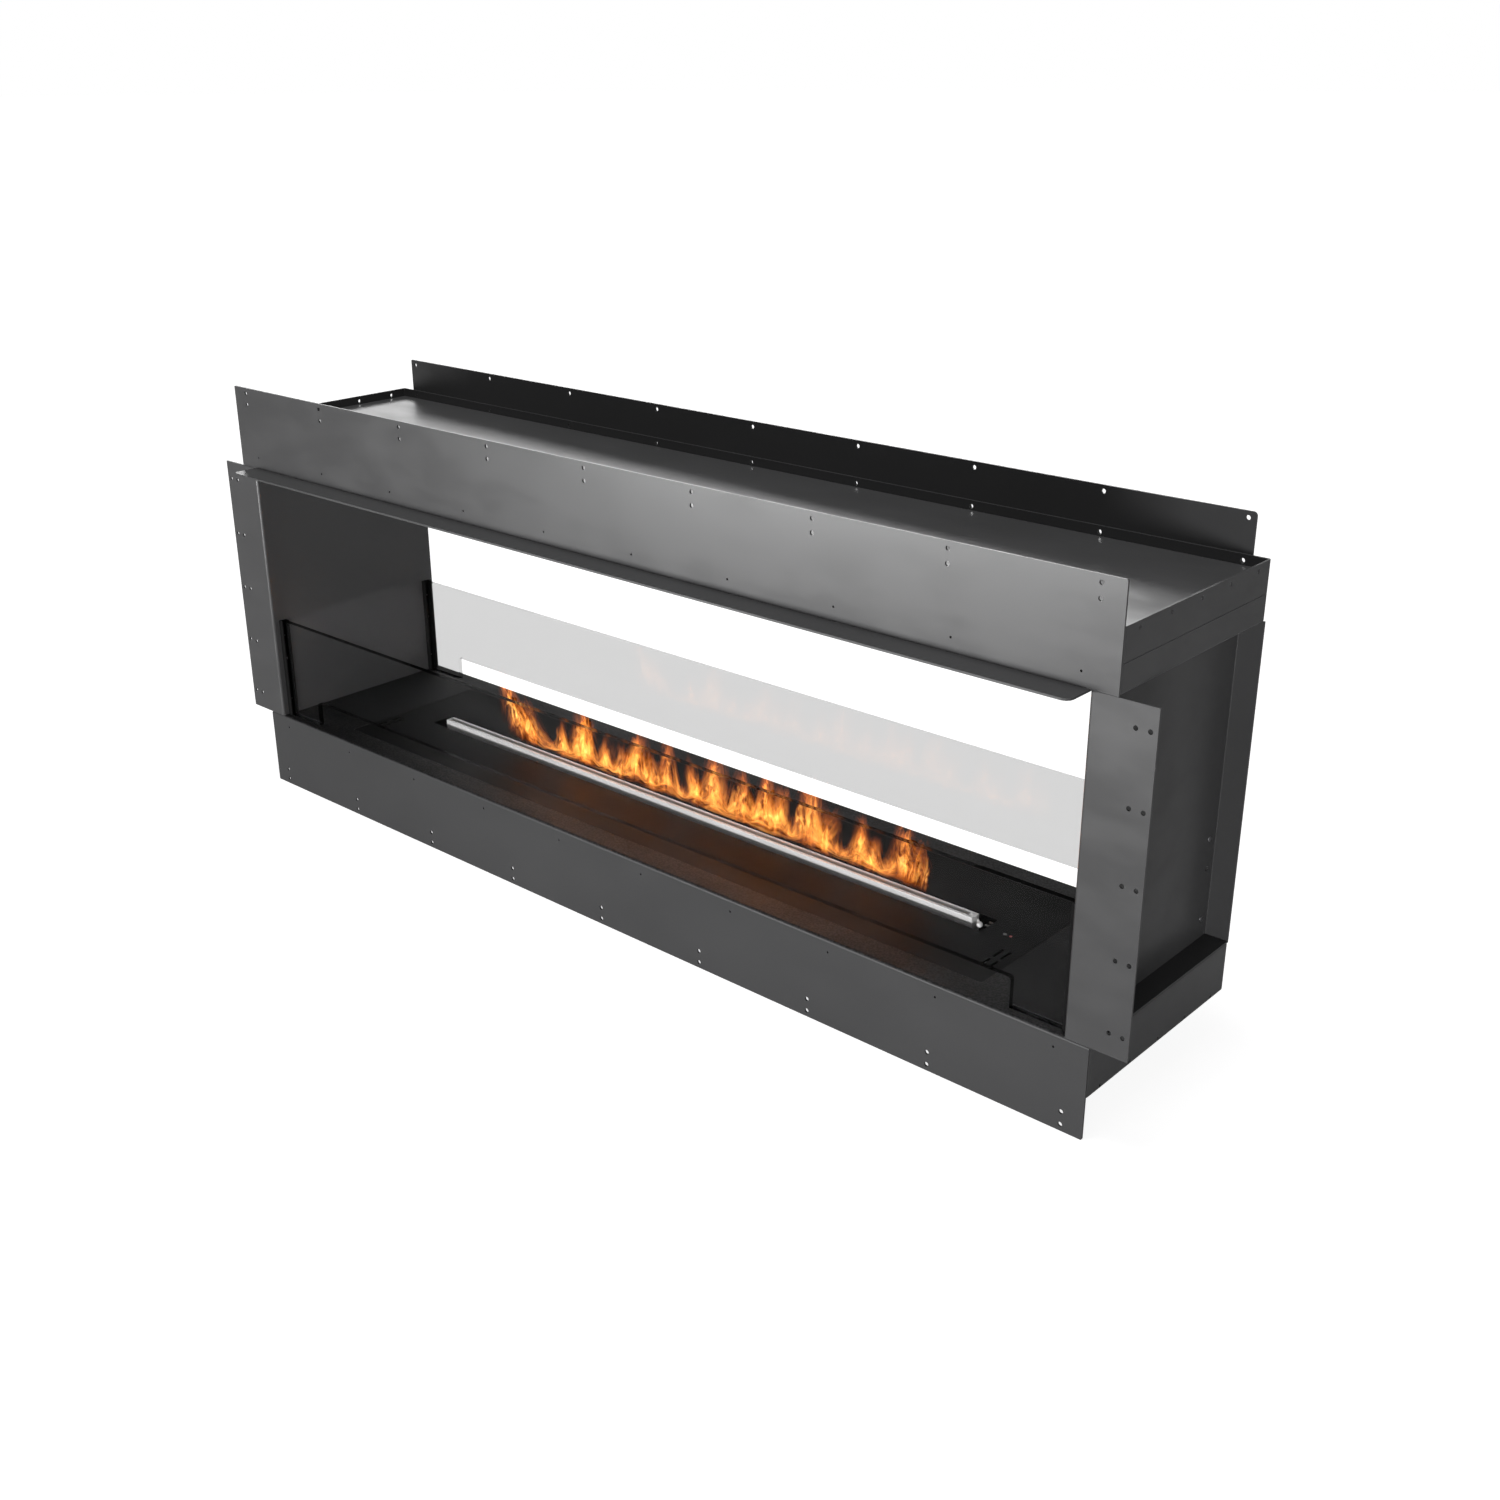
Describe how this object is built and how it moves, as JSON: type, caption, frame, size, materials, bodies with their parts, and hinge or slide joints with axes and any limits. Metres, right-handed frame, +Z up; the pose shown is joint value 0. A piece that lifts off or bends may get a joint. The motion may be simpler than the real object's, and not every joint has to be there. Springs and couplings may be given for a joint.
{
  "type": "double-sided built-in ethanol fireplace",
  "caption": "Dark steel built-in fireplace open at front and back, with a linear ethanol burner in its floor, low glass screens and screw-on frame flanges.",
  "frame": {"origin": "centre of the front opening, in the plane of the front frame's outer face", "axes": "+X along the fireplace to the right as seen from the front, +Y from the front opening to the rear opening, +Z up"},
  "size_m": [1.273, 0.312, 0.507],
  "materials": {
    "dark_powder_coat": "satin",
    "black_steel": "matte",
    "burner_steel": "polished",
    "tank_steel": "satin",
    "zinc_steel": "satin",
    "galvanised_steel": "matte",
    "clear_glass": "polished",
    "mineral_board": "matte",
    "ceramic_wool": "matte",
    "igniter_ceramic": "matte",
    "black_plastic": "matte",
    "cell_wrap": "gloss",
    "pale_plastic": "satin",
    "red_lens": "gloss"
  },
  "bodies": {
    "casing": {"front_top_flange": "dark_powder_coat", "rear_top_flange": "dark_powder_coat", "upper_housing": "dark_powder_coat", "heat_board": "mineral_board", "top_cover": "dark_powder_coat", "ceiling_plate": "dark_powder_coat", "right_side_wall": "dark_powder_coat", "left_side_wall": "dark_powder_coat", "floor_frame": "dark_powder_coat", "base_tray": "dark_powder_coat", "front_panel_rail": "galvanised_steel", "rear_panel_rail": "galvanised_steel", "front_right_glass_holder": "dark_powder_coat", "front_left_glass_holder": "dark_powder_coat", "rear_right_glass_holder": "dark_powder_coat", "rear_left_glass_holder": "dark_powder_coat", "holder_rivets": "zinc_steel", "glass_foot_pockets": "galvanised_steel"},
    "burner_unit": {"burner_top_plate": "dark_powder_coat", "burner_trough": "black_steel", "front_burner_lip": "burner_steel", "rear_burner_lip": "burner_steel", "right_lip_end": "burner_steel", "left_lip_end": "burner_steel", "fuel_tank": "tank_steel", "wick_block": "ceramic_wool", "igniter": "igniter_ceramic", "flame_sensor": "tank_steel", "control_module": "black_plastic", "button_switch": "black_plastic", "battery_case": "black_plastic", "battery_cells": "cell_wrap", "panel_screws": "zinc_steel", "status_light": "red_lens"},
    "start_button": {"start_button": "pale_plastic"},
    "shutter": {"shutter_flap": "tank_steel", "shutter_crank": "burner_steel"},
    "front_glass": {"front_glass": "clear_glass"},
    "rear_glass": {"rear_glass": "clear_glass"}
  },
  "joints": [
    {"name": "burner_lift", "type": "slide", "parent": "casing", "child": "burner_unit", "axis": [0, 0, 1], "range_m": [0, 0.12]},
    {"name": "front_glass_lift", "type": "slide", "parent": "casing", "child": "front_glass", "axis": [0, 0, 1], "range_m": [0, 0.15]},
    {"name": "rear_glass_lift", "type": "slide", "parent": "casing", "child": "rear_glass", "axis": [0, 0, 1], "range_m": [0, 0.15]},
    {"name": "shutter_turn", "type": "hinge", "parent": "burner_unit", "child": "shutter", "pos_m": [0.397, 0.125, -0.165], "axis": [1, 0, 0], "range_deg": [-90, 0]},
    {"name": "start_button_press", "type": "slide", "parent": "burner_unit", "child": "start_button", "axis": [0, 0, -1], "range_m": [0, 0.001], "stiffness_N_per_m": 1000}
  ]
}
